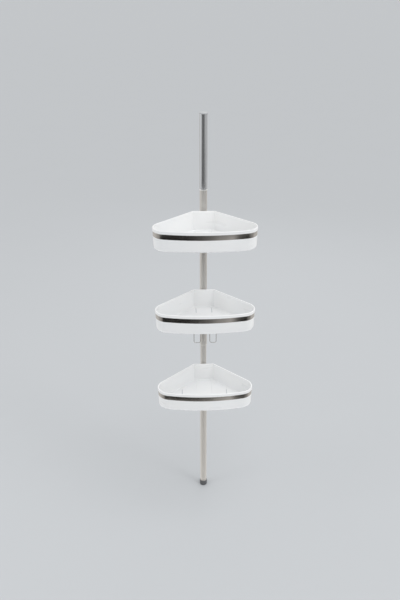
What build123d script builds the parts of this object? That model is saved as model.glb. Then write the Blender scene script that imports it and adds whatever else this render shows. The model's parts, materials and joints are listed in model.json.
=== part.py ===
from build123d import *
import math
import os

os.makedirs("parts", exist_ok=True)

# A corner shower caddy: three deep corner baskets on a sprung telescopic pole that is
# wedged between floor and ceiling.  Millimetres, +Z up, +Y into the room's corner.
# The origin is on the pole's axis, at the underside of the foot.

# ---- heights ------------------------------------------------------------------------
total_height = 1524.0
rim_heights = (1200.0, 906.6, 596.3)      # top rims of the upper, middle and lower basket
guide_height = 674.0                      # lower end of the main tube
top_tube_bottom = 1271.0
main_tube_top = 1440.0
lower_tube_drop = 16.3                    # the lower tube ends this far under the lower rim
basket_height = 71.0

# ---- tubes and fits -----------------------------------------------------------------
tube_radius = 12.7
tube_wall = 0.8
inner_tube_wall = 0.8
top_tube_wall = 0.5
running = 0.08                            # radial clearance of parts that turn or slide
tube_slide = 0.1                          # radial clearance between the two upper tubes
play = 0.3                                # clearance between flat faces that slide past
bush_wall = 0.72                          # guide bush between the main and the inner tube

tube_bore = tube_radius - tube_wall
inner_tube_radius = tube_bore - bush_wall - running
inner_tube_bore = inner_tube_radius - inner_tube_wall
top_tube_bore = tube_radius + tube_slide
top_tube_radius = top_tube_bore + top_tube_wall

# ---- foot and ceiling pad -----------------------------------------------------------
foot_wall = 1.8
foot_height = 22.0
foot_floor = 6.0                          # rubber under the end of the lower tube
foot_rounding = 4.0
foot_edge = 0.8
pad_thickness = 4.0
pad_rounding = 1.0
pad_stem_radius = 5.0
pad_barb = 0.8                            # how far the stem's barb stands out
pad_barb_length = 5.5
pad_barb_gap = 0.5
top_plug_length = 24.0

# ---- telescopic joint and spring ----------------------------------------------------
inner_tube_length = 232.0
bush_flange = 1.6
lower_bush_length = 32.0
plug_length = 20.0
plug_spigot = 14.0
guide_bush_length = 38.0
guide_flange = 0.5                        # how far the guide bush's flange stands out
piston_head = 6.0
piston_stem = 22.0
spring_boss_radius = 6.0
spring_boss_length = 8.0
spring_length = 180.0
spring_wire_radius = 1.2
spring_gap = 1.3                          # coil to the main tube's bore
spring_turns = 18
spring_stop_length = 14.0

# ---- twist lock ---------------------------------------------------------------------
lock_stem = 24.0
lock_flange = 3.0
lock_journal_length = 16.0
cam_ring_wall = 4.0
lock_offset = 0.35                        # journal axis from the pole's axis
cam_gap = 0.4                             # cam ring to the top tube, released
cam_slit = 4.0
ferrule_wall = 0.4
ferrule_lip = 2.5
ferrule_wrap = 1.0
ferrule_edge = 0.3

# ---- clamp on the pole --------------------------------------------------------------
sleeve_wall = 1.52
sleeve_top = -21.0                        # heights from here on are below the basket's rim
sleeve_bead = 1.5
sleeve_bead_lip = 0.7
sleeve_flange = 2.0
sleeve_flange_lip = 2.5
sleeve_split = 3.0
carrier_top = -23.0
carrier_tail = 14.0                       # carrier below the lever's pin
collar_wall = 3.0
collar_front_wall = 3.82
collar_edge = 1.0
carrier_half_width = 23.0
carrier_depth = 12.0
carrier_corner = 4.0
wing_half_width = 31.0
wing_thickness = 3.3
wing_top = -28.0
wing_bottom = -60.0

sleeve_bore = tube_radius + running
sleeve_radius = sleeve_bore + sleeve_wall
carrier_bore = sleeve_radius + running
carrier_front = -(carrier_bore + collar_front_wall)

# ---- clamp lever --------------------------------------------------------------------
cheek_gap = 16.4
cheek_thickness = 3.6
cheek_radius = 9.5
housing_gap = 3.0                         # basket's underside to the housing round the hub
housing_roof = 3.0
pin_drop = 12.0                           # pin below the top of the housing
pin_radius = 2.0
pin_head_radius = 3.2
pin_head = 1.5
shoe_height = 15.2
shoe_proud = 1.8                          # shoe in front of the carrier's front face
shoe_side_gap = 0.2
cam_radius = 6.0
cam_throw = 0.5
cam_angle = 30.0                          # throw below the horizontal when closed
cam_clearance = 0.08
# side view of the handle, from the pin: forwards is -Y; it hangs down and flares at its tip
lever_outline = ((-6.2, 0), (-6.4, -28), (-9.8, -39), (-8.2, -40.5), (-3.2, -30), (-2.6, -4), (0, 0))
lever_bend = 12.0
lever_tip_rounding = 0.8
lever_ribs = (-20.0, -23.0, -26.0)
lever_rib_radius = 0.7

housing_top = -(basket_height + housing_gap)
pin_height = housing_top - pin_drop
carrier_bottom = pin_height - carrier_tail
cheek_outer = cheek_gap / 2 + cheek_thickness
lever_width = cheek_gap - 2 * play
shoe_width = lever_width - 2 * play
shoe_front = carrier_front - shoe_proud
pin_y = shoe_front - cam_clearance - cam_radius - cam_throw * math.cos(math.radians(cam_angle))

# ---- basket section -----------------------------------------------------------------
lip_height = 10.3
band_height = 17.1
band_thickness = 0.6
band_inset = 0.9                          # insets are measured inwards from the rim's outline
body_inset = 1.0
bottom_inset = 2.7
rim_width = 4.2
cavity_bottom_inset = 5.6
floor_thickness = 3.5
bottom_rounding = 8.0
floor_rounding = 4.0
rim_rounding = 1.2
lip_edge_rounding = 0.4
band_end_gap = 0.3
hook_wall = 3.0
hook_lip = 2.4
hook_reach = 6.8                          # how far a channel's lip laps over the wing
hook_cap = 2.5
hook_root = 2.1                           # how deep the channels start in the rear wall

band_seat = band_inset + band_thickness

# ---- basket outline -----------------------------------------------------------------
rear_margin = 3.7                         # flat of the back outside a channel
basket_half_width = 168.5
corner_radius = 46.0
front_bow = 13.5                          # middle of the front before the corners' front
rear_corner_radius = 11.0
inner_rear_radius = 4.5
basket_rear = carrier_front - play + body_inset
wing_slot = wing_half_width + play
channel_x = wing_slot + hook_wall
rear_half_width = channel_x + rear_margin

# ---- basket floor: distances are measured forwards from the basket's back -------------
slot_width = 3.0
inner_slot_x = 28.0
outer_slot_x = 82.0
inner_slot_span = (11.0, 49.5)
outer_slot_span = (68.5, 132.5)
hanger_slot_span = (110.5, 164.5)
trough_depth = 1.5
trough_slope = 3.0
trough_span = (10.0, 102.5)
band_end = 92.5

# ---- wire hangers -------------------------------------------------------------------
wire_radius = 1.0
hanger_width = 22.0
hanger_place = 154.5                      # from the basket's back
hanger_shift = 1.0                        # the loops hang this far inwards of the slots
hanger_drop = 59.0                        # lower bar under the basket's underside
hanger_bar_gap = 5.0
hanger_bends = (1.6, 3.0, 4.0, 6.0, 6.0, 10.0)
hanger_head = 9.0
hanger_gap = 0.2
hanger_tip_rise = 40.0
hanger_tip_flare = (3.5, 9.0)


def right_side_offset(distance):
    """Value of x + y on the 45 degree side wall, moved inwards by a distance."""
    return rear_half_width + basket_rear - distance * math.sqrt(2)


corner_x = basket_half_width - corner_radius
corner_y = right_side_offset(corner_radius) - corner_x
# The bowed front is an arc that both corner arcs touch from inside.
front_radius = (corner_x**2 + front_bow**2) / (2 * front_bow) + corner_radius
front_centre_y = corner_y - corner_radius - front_bow + front_radius
corner_end = math.degrees(math.atan2(corner_y - front_centre_y, corner_x))


def basket_outline(inset, rear_radius):
    """Closed plan of the basket in the open sketch: rear edge, 45 degree sides, bowed front."""
    rear_y = basket_rear - inset
    rear_x = right_side_offset(inset) - rear_y
    sweep_angle = 45 - corner_end
    with BuildLine() as outline:
        right = CenterArc((corner_x, corner_y), corner_radius - inset, 45, -sweep_angle)
        CenterArc((0, front_centre_y), front_radius - inset, corner_end, -2 * (90 + corner_end))
        left = CenterArc((-corner_x, corner_y), corner_radius - inset, 180 - corner_end, -sweep_angle)
        FilletPolyline(left @ 1, (-rear_x, rear_y), (rear_x, rear_y), right @ 0, radius=rear_radius)
    make_face(outline.edges())


def cut_outline(inset, rear_y):
    """Leave of the open sketch only what lies outside the inset outline and before rear_y."""
    with BuildSketch(mode=Mode.PRIVATE) as inner:
        basket_outline(inset, rear_corner_radius - inset)
    add(inner.sketch, mode=Mode.SUBTRACT)
    with Locations((0, rear_y)):
        Rectangle(
            2 * basket_half_width, -rear_y, align=(Align.CENTER, Align.MIN), mode=Mode.SUBTRACT
        )


def slot_pair(half_spacing, span):
    """Two slots that run front to back, one each side, in the open sketch."""
    middle = basket_rear - (span[0] + span[1]) / 2
    with Locations((half_spacing, middle), (-half_spacing, middle)):
        SlotOverall(span[1] - span[0], slot_width, rotation=90)


def ring(outer_radius, inner_radius):
    """Flat ring about the pole's axis in the open sketch."""
    Circle(outer_radius)
    Circle(inner_radius, mode=Mode.SUBTRACT)


# =====================================================================================
# Pole
# =====================================================================================

with BuildPart() as foot:
    with BuildSketch():
        Circle(tube_radius + foot_wall)
    extrude(amount=foot_height)
    fillet(foot.edges().sort_by(Axis.Z)[0], radius=foot_rounding)
    fillet(foot.edges().sort_by(Axis.Z)[-1], radius=foot_edge)
    with BuildSketch(Plane.XY.offset(foot_floor)):
        Circle(tube_radius)
    extrude(amount=foot_height, mode=Mode.SUBTRACT)
foot.part.label = "foot"
export_step(foot.part, "parts/foot.step")

lower_tube_top = rim_heights[2] - lower_tube_drop
with BuildPart() as lower_tube:
    with BuildSketch(Plane.XY.offset(foot_floor)):
        ring(tube_radius, tube_bore)
    extrude(amount=lower_tube_top - foot_floor)
lower_tube.part.label = "lower_tube"
export_step(lower_tube.part, "parts/lower_tube.step")

with BuildPart() as lower_bush:
    with BuildSketch(Plane.XY.offset(lower_tube_top - lower_bush_length)):
        ring(tube_bore, inner_tube_radius)
    extrude(amount=lower_bush_length)
    with BuildSketch(Plane.XY.offset(lower_tube_top)):
        ring(tube_radius, inner_tube_radius)
    extrude(amount=bush_flange)
lower_bush.part.label = "lower_bush"
export_step(lower_bush.part, "parts/lower_bush.step")

guide_top = guide_height + guide_bush_length
inner_tube_bottom = guide_top - inner_tube_length
with BuildPart() as inner_tube:
    with BuildSketch(Plane.XY.offset(inner_tube_bottom)):
        ring(inner_tube_radius, inner_tube_bore)
    extrude(amount=inner_tube_length)
inner_tube.part.label = "inner_tube"
export_step(inner_tube.part, "parts/inner_tube.step")

with BuildPart() as centring_plug:
    with BuildSketch(Plane.XY.offset(inner_tube_bottom - plug_length)):
        Circle(tube_bore)
    extrude(amount=plug_length)
    with BuildSketch(Plane.XY.offset(inner_tube_bottom)):
        Circle(inner_tube_bore)
    extrude(amount=plug_spigot)
centring_plug.part.label = "centring_plug"
export_step(centring_plug.part, "parts/centring_plug.step")

with BuildPart() as guide_bush:
    with BuildSketch(Plane.XY.offset(guide_height)):
        ring(tube_bore, inner_tube_radius + running)
    extrude(amount=guide_bush_length)
    with BuildSketch(Plane.XY.offset(guide_height - bush_flange)):
        ring(tube_radius + guide_flange, inner_tube_radius + running)
    extrude(amount=bush_flange)
guide_bush.part.label = "guide_bush"
export_step(guide_bush.part, "parts/guide_bush.step")

with BuildPart() as piston:
    with BuildSketch(Plane.XY.offset(guide_top - piston_stem)):
        Circle(inner_tube_bore)
    extrude(amount=piston_stem)
    with BuildSketch(Plane.XY.offset(guide_top)):
        Circle(tube_bore - running)
    extrude(amount=piston_head)
    with BuildSketch(Plane.XY.offset(guide_top + piston_head)):
        Circle(spring_boss_radius)
    extrude(amount=spring_boss_length)
piston.part.label = "piston"
export_step(piston.part, "parts/piston.step")

spring_bottom = guide_top + piston_head
spring_top = spring_bottom + spring_length
spring_rise = spring_length - 2 * spring_wire_radius
with BuildPart() as tension_spring:
    with BuildLine() as coil:
        Helix(
            pitch=spring_rise / spring_turns,
            height=spring_rise,
            radius=tube_bore - spring_gap - spring_wire_radius,
            center=(0, 0, spring_bottom + spring_wire_radius),
        )
    with BuildSketch(Plane(origin=coil.wire() @ 0, z_dir=coil.wire() % 0)):
        Circle(spring_wire_radius)
    sweep(is_frenet=True)
tension_spring.part.label = "tension_spring"
export_step(tension_spring.part, "parts/tension_spring.step")

with BuildPart() as spring_stop:
    with BuildSketch(Plane.XY.offset(spring_top)):
        Circle(tube_bore)
    extrude(amount=spring_stop_length)
    with BuildSketch(Plane.XY.offset(spring_top - spring_boss_length)):
        Circle(spring_boss_radius)
    extrude(amount=spring_boss_length)
spring_stop.part.label = "spring_stop"
export_step(spring_stop.part, "parts/spring_stop.step")

with BuildPart() as main_tube:
    with BuildSketch(Plane.XY.offset(guide_height)):
        ring(tube_radius, tube_bore)
    extrude(amount=main_tube_top - guide_height)
main_tube.part.label = "main_tube"
export_step(main_tube.part, "parts/main_tube.step")

journal_bottom = main_tube_top + lock_flange
lock_journal_radius = top_tube_bore - cam_gap - cam_ring_wall - lock_offset - running
with BuildPart() as lock_spindle:
    with BuildSketch(Plane.XY.offset(main_tube_top - lock_stem)):
        Circle(tube_bore)
    extrude(amount=lock_stem)
    with BuildSketch(Plane.XY.offset(main_tube_top)):
        Circle(tube_radius)
    extrude(amount=lock_flange)
    with BuildSketch(Plane.XY.offset(journal_bottom)):
        with Locations((lock_offset, 0)):
            Circle(lock_journal_radius)
    extrude(amount=lock_journal_length)
    with BuildSketch(Plane.XY.offset(journal_bottom + lock_journal_length)):
        Circle(tube_radius)
    extrude(amount=lock_flange)
lock_spindle.part.label = "lock_spindle"
export_step(lock_spindle.part, "parts/lock_spindle.step")

cam_ring_gap = play / 2
with BuildPart() as cam_ring:
    with BuildSketch(Plane.XY.offset(journal_bottom + cam_ring_gap)):
        Circle(top_tube_bore - cam_gap)
        with Locations((lock_offset, 0)):
            Circle(lock_journal_radius + running, mode=Mode.SUBTRACT)
        with Locations((-top_tube_bore / 2, 0)):
            Rectangle(top_tube_bore, cam_slit, mode=Mode.SUBTRACT)
    extrude(amount=lock_journal_length - 2 * cam_ring_gap)
cam_ring.part.label = "cam_ring"
export_step(cam_ring.part, "parts/cam_ring.step")

top_tube_top = total_height - pad_thickness
with BuildPart() as top_tube:
    with BuildSketch(Plane.XY.offset(top_tube_bottom)):
        ring(top_tube_radius, top_tube_bore)
    extrude(amount=top_tube_top - top_tube_bottom)
top_tube.part.label = "top_tube"
export_step(top_tube.part, "parts/top_tube.step")

with BuildPart() as top_ferrule:
    with BuildSketch(Plane.XY.offset(top_tube_bottom - ferrule_lip)):
        ring(top_tube_radius + ferrule_wall, top_tube_bore)
    extrude(amount=ferrule_lip)
    with BuildSketch(Plane.XY.offset(top_tube_bottom)):
        ring(top_tube_radius + ferrule_wall, top_tube_radius)
    extrude(amount=ferrule_wrap)
    chamfer(top_ferrule.edges().group_by(Axis.Z)[0].sort_by(SortBy.RADIUS)[-1], length=ferrule_edge)
top_ferrule.part.label = "top_ferrule"
export_step(top_ferrule.part, "parts/top_ferrule.step")

with BuildPart() as top_plug:
    with BuildSketch(Plane.XY.offset(top_tube_top - top_plug_length)):
        ring(top_tube_bore, pad_stem_radius + running)
    extrude(amount=top_plug_length)
top_plug.part.label = "top_plug"
export_step(top_plug.part, "parts/top_plug.step")

barb_top = top_tube_top - top_plug_length - pad_barb_gap
with BuildPart() as ceiling_pad:
    with BuildSketch(Plane.XY.offset(top_tube_top)):
        Circle(top_tube_radius)
    extrude(amount=pad_thickness)
    fillet(ceiling_pad.edges().sort_by(Axis.Z)[-1], radius=pad_rounding)
    with BuildSketch(Plane.XY.offset(barb_top)):
        Circle(pad_stem_radius)
    extrude(amount=top_tube_top - barb_top)
    with BuildSketch(Plane.XY.offset(barb_top)):
        Circle(pad_stem_radius + pad_barb)
    with BuildSketch(Plane.XY.offset(barb_top - pad_barb_length)):
        Circle(pad_stem_radius - 2 * pad_barb)
    loft()
ceiling_pad.part.label = "ceiling_pad"
export_step(ceiling_pad.part, "parts/ceiling_pad.step")

# =====================================================================================
# Shelves: basket, trim band, and the clamp that holds them on the pole
# =====================================================================================

lip_inner_y = carrier_front + wing_thickness + play
lip_outer_y = lip_inner_y + hook_lip
root_y = basket_rear - body_inset - hook_root
cap_width = channel_x - wing_half_width + hook_reach

for shelf, rim in enumerate(rim_heights, start=1):
    has_hangers = shelf == 2
    underside = rim - basket_height
    floor_top = underside + floor_thickness
    band_top = rim - lip_height
    band_bottom = band_top - band_height

    with BuildPart() as basket:
        # outside: lip, straight zone behind the band, tapered lower wall
        with BuildSketch(Plane.XY.offset(rim)):
            basket_outline(0, rear_corner_radius)
        extrude(amount=-lip_height)
        fillet(basket.edges().group_by(Axis.Z)[0], radius=lip_edge_rounding)
        with BuildSketch(Plane.XY.offset(band_top)):
            basket_outline(body_inset, rear_corner_radius - body_inset)
        extrude(amount=-band_height)
        with BuildSketch(Plane.XY.offset(band_bottom)):
            basket_outline(body_inset, rear_corner_radius - body_inset)
        with BuildSketch(Plane.XY.offset(underside)):
            basket_outline(bottom_inset, rear_corner_radius - bottom_inset)
        loft(ruled=True)
        fillet(basket.edges().group_by(Axis.Z)[0], radius=bottom_rounding)
        # inside
        with BuildSketch(Plane.XY.offset(rim)):
            basket_outline(rim_width, inner_rear_radius)
        with BuildSketch(Plane.XY.offset(floor_top)):
            basket_outline(cavity_bottom_inset, inner_rear_radius)
        loft(ruled=True, mode=Mode.SUBTRACT)
        fillet(basket.edges().filter_by_position(Axis.Z, floor_top, floor_top), radius=floor_rounding)
        fillet(basket.edges().group_by(Axis.Z)[-1], radius=rim_rounding)
        # recess that the trim band lies in
        with BuildSketch(Plane.XY.offset(band_bottom)):
            basket_outline(0, rear_corner_radius)
            cut_outline(band_seat, basket_rear - band_end + band_end_gap)
        extrude(amount=band_height, mode=Mode.SUBTRACT)
        # shallow trough and drain slots in the floor
        trough_edge = inner_slot_x + trough_slope / 2
        trough_foot = inner_slot_x - trough_slope / 2
        with BuildSketch(Plane.XZ.offset(trough_span[0] - basket_rear)):
            with BuildLine():
                Polyline(
                    (-trough_edge, floor_top + trough_slope),
                    (-trough_edge, floor_top),
                    (-trough_foot, floor_top - trough_depth),
                    (trough_foot, floor_top - trough_depth),
                    (trough_edge, floor_top),
                    (trough_edge, floor_top + trough_slope),
                    close=True,
                )
            make_face()
        extrude(amount=trough_span[1] - trough_span[0], mode=Mode.SUBTRACT)
        with BuildSketch(Plane.XY.offset(underside)):
            slot_pair(outer_slot_x, outer_slot_span)
            if has_hangers:
                slot_pair(inner_slot_x, inner_slot_span)
                slot_pair(inner_slot_x, hanger_slot_span)
        extrude(amount=floor_thickness, mode=Mode.SUBTRACT)
        # two channels on the back that drop over the carrier's wings
        for side in (-1, 1):
            with BuildSketch(Plane.XY.offset(rim + wing_bottom - play)):
                with BuildLine():
                    Polyline(
                        (side * wing_slot, root_y),
                        (side * channel_x, root_y),
                        (side * channel_x, lip_outer_y),
                        (side * (channel_x - cap_width), lip_outer_y),
                        (side * (channel_x - cap_width), lip_inner_y),
                        (side * wing_slot, lip_inner_y),
                        close=True,
                    )
                make_face()
            extrude(amount=wing_top - wing_bottom + play)
            with BuildSketch(Plane.XY.offset(rim + wing_top)):
                with Locations((side * (channel_x - cap_width / 2), (root_y + lip_outer_y) / 2)):
                    Rectangle(cap_width, lip_outer_y - root_y)
            extrude(amount=hook_cap)
    basket.part.label = f"basket_{shelf}"
    export_step(basket.part, f"parts/basket_{shelf}.step")

    with BuildPart() as trim_band:
        with BuildSketch(Plane.XY.offset(band_bottom)):
            basket_outline(band_inset, rear_corner_radius - band_inset)
            cut_outline(band_seat, basket_rear - band_end)
        extrude(amount=band_height)
    trim_band.part.label = f"trim_band_{shelf}"
    export_step(trim_band.part, f"parts/trim_band_{shelf}.step")

    with BuildPart() as sleeve:
        with BuildSketch(Plane.XY.offset(rim + carrier_bottom)):
            ring(sleeve_radius, sleeve_bore)
        extrude(amount=sleeve_top - carrier_bottom)
        with BuildSketch(Plane.XY.offset(rim + carrier_bottom - sleeve_flange)):
            ring(sleeve_radius + sleeve_flange_lip, sleeve_bore)
        extrude(amount=sleeve_flange)
        with BuildSketch(Plane.XY.offset(rim + sleeve_top - sleeve_bead)):
            ring(sleeve_radius + sleeve_bead_lip, sleeve_bore)
        extrude(amount=sleeve_bead)
        with BuildSketch(Plane.XY.offset(rim + carrier_bottom - sleeve_flange)):
            with Locations((0, sleeve_radius)):
                Rectangle(sleeve_split, 2 * sleeve_radius - sleeve_bore)
        extrude(amount=sleeve_top - carrier_bottom + sleeve_flange, mode=Mode.SUBTRACT)
    sleeve.part.label = f"sleeve_{shelf}"
    export_step(sleeve.part, f"parts/sleeve_{shelf}.step")

    with BuildPart() as carrier:
        # collar round the sleeve, with a flat block in front
        with BuildSketch(Plane.XY.offset(rim + carrier_bottom)):
            Circle(carrier_bore + collar_wall)
            with Locations((0, carrier_front)):
                RectangleRounded(2 * carrier_half_width, 2 * carrier_depth, carrier_corner)
                Rectangle(
                    2 * wing_half_width, carrier_depth, align=(Align.CENTER, Align.MAX),
                    mode=Mode.SUBTRACT,
                )
        extrude(amount=carrier_top - carrier_bottom)
        chamfer(carrier.edges().group_by(Axis.Z)[-1], length=collar_edge)
        with BuildSketch(Plane.XY.offset(rim + wing_bottom)):
            with Locations((0, carrier_front)):
                Rectangle(2 * wing_half_width, wing_thickness, align=(Align.CENTER, Align.MIN))
        extrude(amount=wing_top - wing_bottom)
        # two cheeks and a roof round the lever's hub
        for side in (-1, 1):
            with BuildSketch(Plane.YZ.offset(side * (cheek_gap + cheek_thickness) / 2)):
                with Locations((pin_y, rim + pin_height)):
                    Circle(cheek_radius)
                with Locations(((pin_y + carrier_front) / 2, rim + pin_height)):
                    Rectangle(carrier_front - pin_y, 2 * cheek_radius)
            extrude(amount=cheek_thickness / 2, both=True)
        with BuildSketch(Plane.XY.offset(rim + housing_top)):
            with Locations((0, carrier_front)):
                Rectangle(2 * cheek_outer, carrier_front - pin_y, align=(Align.CENTER, Align.MAX))
        extrude(amount=-housing_roof)
        # bore, pin hole, window for the shoe
        with BuildSketch(Plane.XY.offset(rim + carrier_bottom)):
            Circle(carrier_bore)
        extrude(amount=carrier_top - carrier_bottom, mode=Mode.SUBTRACT)
        with BuildSketch(Plane.YZ.offset(-cheek_outer)):
            with Locations((pin_y, rim + pin_height)):
                Circle(pin_radius)
        extrude(amount=2 * cheek_outer, mode=Mode.SUBTRACT)
        with BuildSketch(Plane.XZ):
            with Locations((0, rim + pin_height)):
                Rectangle(shoe_width + 2 * shoe_side_gap, shoe_height + 2 * shoe_side_gap)
        extrude(amount=-carrier_front, mode=Mode.SUBTRACT)
    carrier.part.label = f"carrier_{shelf}"
    export_step(carrier.part, f"parts/carrier_{shelf}.step")

    with BuildPart() as shoe:
        with BuildSketch(Plane.XZ.offset(-shoe_front)):
            with Locations((0, rim + pin_height)):
                Rectangle(shoe_width, shoe_height)
        extrude(amount=shoe_front)
        with BuildSketch(Plane.XY.offset(rim + pin_height - shoe_height / 2)):
            Circle(carrier_bore)
        extrude(amount=shoe_height, mode=Mode.SUBTRACT)
    shoe.part.label = f"shoe_{shelf}"
    export_step(shoe.part, f"parts/shoe_{shelf}.step")

    with BuildPart() as lever_pin:
        with BuildSketch(Plane.YZ.offset(-cheek_outer)):
            with Locations((pin_y, rim + pin_height)):
                Circle(pin_radius)
        extrude(amount=2 * cheek_outer)
        with BuildSketch(Plane.YZ.offset(-cheek_outer)):
            with Locations((pin_y, rim + pin_height)):
                Circle(pin_head_radius)
        extrude(amount=-pin_head)
    lever_pin.part.label = f"lever_pin_{shelf}"
    export_step(lever_pin.part, f"parts/lever_pin_{shelf}.step")

    with BuildPart() as lever:
        throw = math.radians(cam_angle)
        side_view = Plane(
            origin=(-lever_width / 2, pin_y, rim + pin_height), x_dir=(0, 1, 0), z_dir=(1, 0, 0)
        )
        with BuildSketch(side_view) as profile:
            with BuildLine():
                Polyline(*lever_outline, close=True)
            make_face()
            by_height = profile.vertices().sort_by(Axis.Y)
            fillet(by_height[:2], radius=lever_tip_rounding)
            fillet(profile.vertices().sort_by(Axis.Y)[4:6], radius=lever_bend)
            with Locations(*[(lever_outline[1][0], height) for height in lever_ribs]):
                Circle(lever_rib_radius)
            with Locations((cam_throw * math.cos(throw), -cam_throw * math.sin(throw))):
                Circle(cam_radius)
            Circle(pin_radius + running, mode=Mode.SUBTRACT)
        extrude(amount=lever_width)
    lever.part.label = f"lever_{shelf}"
    export_step(lever.part, f"parts/lever_{shelf}.step")

    if has_hangers:
        hanger_y = basket_rear - hanger_place
        bar_z = underside - hanger_bar_gap
        low_z = underside - hanger_drop
        tip_z = low_z + hanger_tip_rise
        head_z = floor_top + wire_radius + hanger_gap
        for side, name in ((-1, "hanger_left"), (1, "hanger_right")):
            slot_x = side * inner_slot_x
            outer_x = side * (inner_slot_x - hanger_shift + hanger_width / 2)
            inner_x = side * (inner_slot_x - hanger_shift - hanger_width / 2)
            tip_x = inner_x - side * hanger_tip_flare[0]
            with BuildPart() as hanger:
                with BuildLine() as bends:
                    FilletPolyline(
                        (slot_x - side * hanger_head, hanger_y, head_z),
                        (slot_x, hanger_y, head_z),
                        (slot_x, hanger_y, bar_z),
                        (outer_x, hanger_y, bar_z),
                        (outer_x, hanger_y, low_z),
                        (inner_x, hanger_y, low_z),
                        (inner_x, hanger_y, tip_z),
                        (tip_x, hanger_y, tip_z + hanger_tip_flare[1]),
                        radius=hanger_bends,
                    )
                with BuildSketch(Plane(origin=bends.wire() @ 0, z_dir=bends.wire() % 0)):
                    Circle(wire_radius)
                sweep()
            hanger.part.label = name
            export_step(hanger.part, f"parts/{name}.step")
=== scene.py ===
"""Looks of a corner shower caddy: three moulded baskets on a sprung telescopic pole.

Metres, +Z up, +Y into the room's corner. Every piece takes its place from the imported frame.
"""

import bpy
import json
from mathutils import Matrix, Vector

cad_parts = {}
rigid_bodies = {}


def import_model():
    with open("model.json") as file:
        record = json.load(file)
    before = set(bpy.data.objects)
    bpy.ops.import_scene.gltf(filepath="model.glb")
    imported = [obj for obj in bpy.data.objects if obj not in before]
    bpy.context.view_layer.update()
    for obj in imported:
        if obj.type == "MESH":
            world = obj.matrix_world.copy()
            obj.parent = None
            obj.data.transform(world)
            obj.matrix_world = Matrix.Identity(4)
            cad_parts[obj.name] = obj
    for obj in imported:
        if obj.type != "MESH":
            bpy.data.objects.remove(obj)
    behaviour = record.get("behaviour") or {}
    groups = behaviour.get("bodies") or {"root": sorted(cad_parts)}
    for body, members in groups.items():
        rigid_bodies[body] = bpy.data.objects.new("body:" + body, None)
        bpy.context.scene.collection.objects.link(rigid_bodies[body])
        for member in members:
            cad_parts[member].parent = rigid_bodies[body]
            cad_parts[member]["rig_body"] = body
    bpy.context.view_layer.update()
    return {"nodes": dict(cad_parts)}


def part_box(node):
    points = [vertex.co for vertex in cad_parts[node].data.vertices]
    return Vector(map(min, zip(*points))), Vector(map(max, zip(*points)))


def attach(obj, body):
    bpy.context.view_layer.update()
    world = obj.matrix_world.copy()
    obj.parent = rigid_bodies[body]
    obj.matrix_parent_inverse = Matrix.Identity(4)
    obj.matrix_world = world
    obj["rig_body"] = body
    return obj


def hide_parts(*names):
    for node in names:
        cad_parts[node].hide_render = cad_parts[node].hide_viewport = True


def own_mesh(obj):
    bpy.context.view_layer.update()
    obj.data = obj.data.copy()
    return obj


bl_info = {
    "name": "Corner shower caddy",
    "version": (1, 0, 0),
    "blender": (4, 5, 0),
    "location": "3D View > Sidebar > Caddy",
    "description": "Builds the baskets, trim bands, pole and hooks of a corner shower caddy",
    "category": "Add Mesh",
}

import json
import math

import bmesh
import bpy
import numpy as np
from bpy.props import FloatProperty, FloatVectorProperty, IntProperty, PointerProperty
from bpy.types import NodeSocket, Operator, Panel, PropertyGroup
from mathutils import Matrix, Vector

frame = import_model()
slot_of = {name: node.material_slots[0].material.name for name, node in frame["nodes"].items()}
shelves = (1, 2, 3)

TUBE_WALL = 0.0008
TOP_TUBE_WALL = 0.0005
RUNNING = 0.00008  # radial clearance of pieces that turn or slide on each other
GAP = 0.0003  # clearance between flat faces that slide past each other
BREAK = 1e-5  # half the distance between a plan's two points where the trim band ends
ARC_STEPS = 8  # steps of each rounding in a basket's section

# Slots in a basket's floor: (distance from the middle, start, end), both forwards from the back.
DRAIN_SLOTS = ((0.082, 0.0685, 0.1325),)
HOOK_SLOTS = ((0.028, 0.011, 0.0495), (0.028, 0.1105, 0.1645))

# The trough in the floor: half its width at the top and at the bottom, and its two ends.
TROUGH_EDGE, TROUGH_FOOT = 0.0284, 0.0276
TROUGH_ENDS = (0.010, 0.1025)

# The channels behind a basket's back that drop over the carrier's wings.
CHANNEL_OUTSIDE = 0.0033  # from the wing's side to the channel's outside
CHANNEL_ROOT = 0.0021  # how deep the channel is rooted in the back wall
LIP_FACES = (0.0036, 0.006)  # the lip behind the wing, from the back wall's outside
LIP_REACH = 0.0101  # how far the lip reaches in from the channel's outside
CHANNEL_HEIGHTS = (-0.0603, -0.0279)  # under the rim, 0.1 mm into the closed top
CAP_HEIGHTS = (-0.028, -0.0255)

# Grey cards that the steel reflects: (bearing in degrees from the front, positive to the right,
# brightness). The low ring shows in the bands and lower tubes, the high one in the top tube.
LOW_CARDS = (
    (-180, 0.5), (-150, 0.8), (-110, 0.95), (-80, 0.6), (-60, 0.4), (-54, 0.01), (-20, 0.01),
    (-10, 0.03), (-3, 0.08), (1, 0.16), (7, 0.26), (12, 0.5), (16, 0.5), (21, 0.78), (25, 0.12),
    (30, 0.02), (42, 0.04), (60, 0.3), (75, 0.4), (95, 0.9), (150, 0.8), (180, 0.5),
)
HIGH_CARDS = (
    (-180, 0.2), (-160, 0.3), (-140, 0.85), (-105, 1.0), (-75, 0.95), (-50, 0.75), (-32, 0.22),
    (-15, 0.14), (10, 0.22), (35, 0.42), (60, 0.75), (75, 0.7), (88, 0.4), (102, 0.8),
    (130, 0.9), (150, 0.4), (180, 0.2),
)


def linear(hex_code):
    """Linear RGB of an sRGB colour written as six hex digits."""
    srgb = np.array([int(hex_code[i : i + 2], 16) for i in (0, 2, 4)]) / 255
    return tuple(np.where(srgb <= 0.04045, srgb / 12.92, ((srgb + 0.055) / 1.055) ** 2.4))


def length(label, description, default):
    """A size in metres that the user may change."""
    return FloatProperty(
        name=label, description=description, default=default, unit="LENGTH", precision=5
    )


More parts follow.
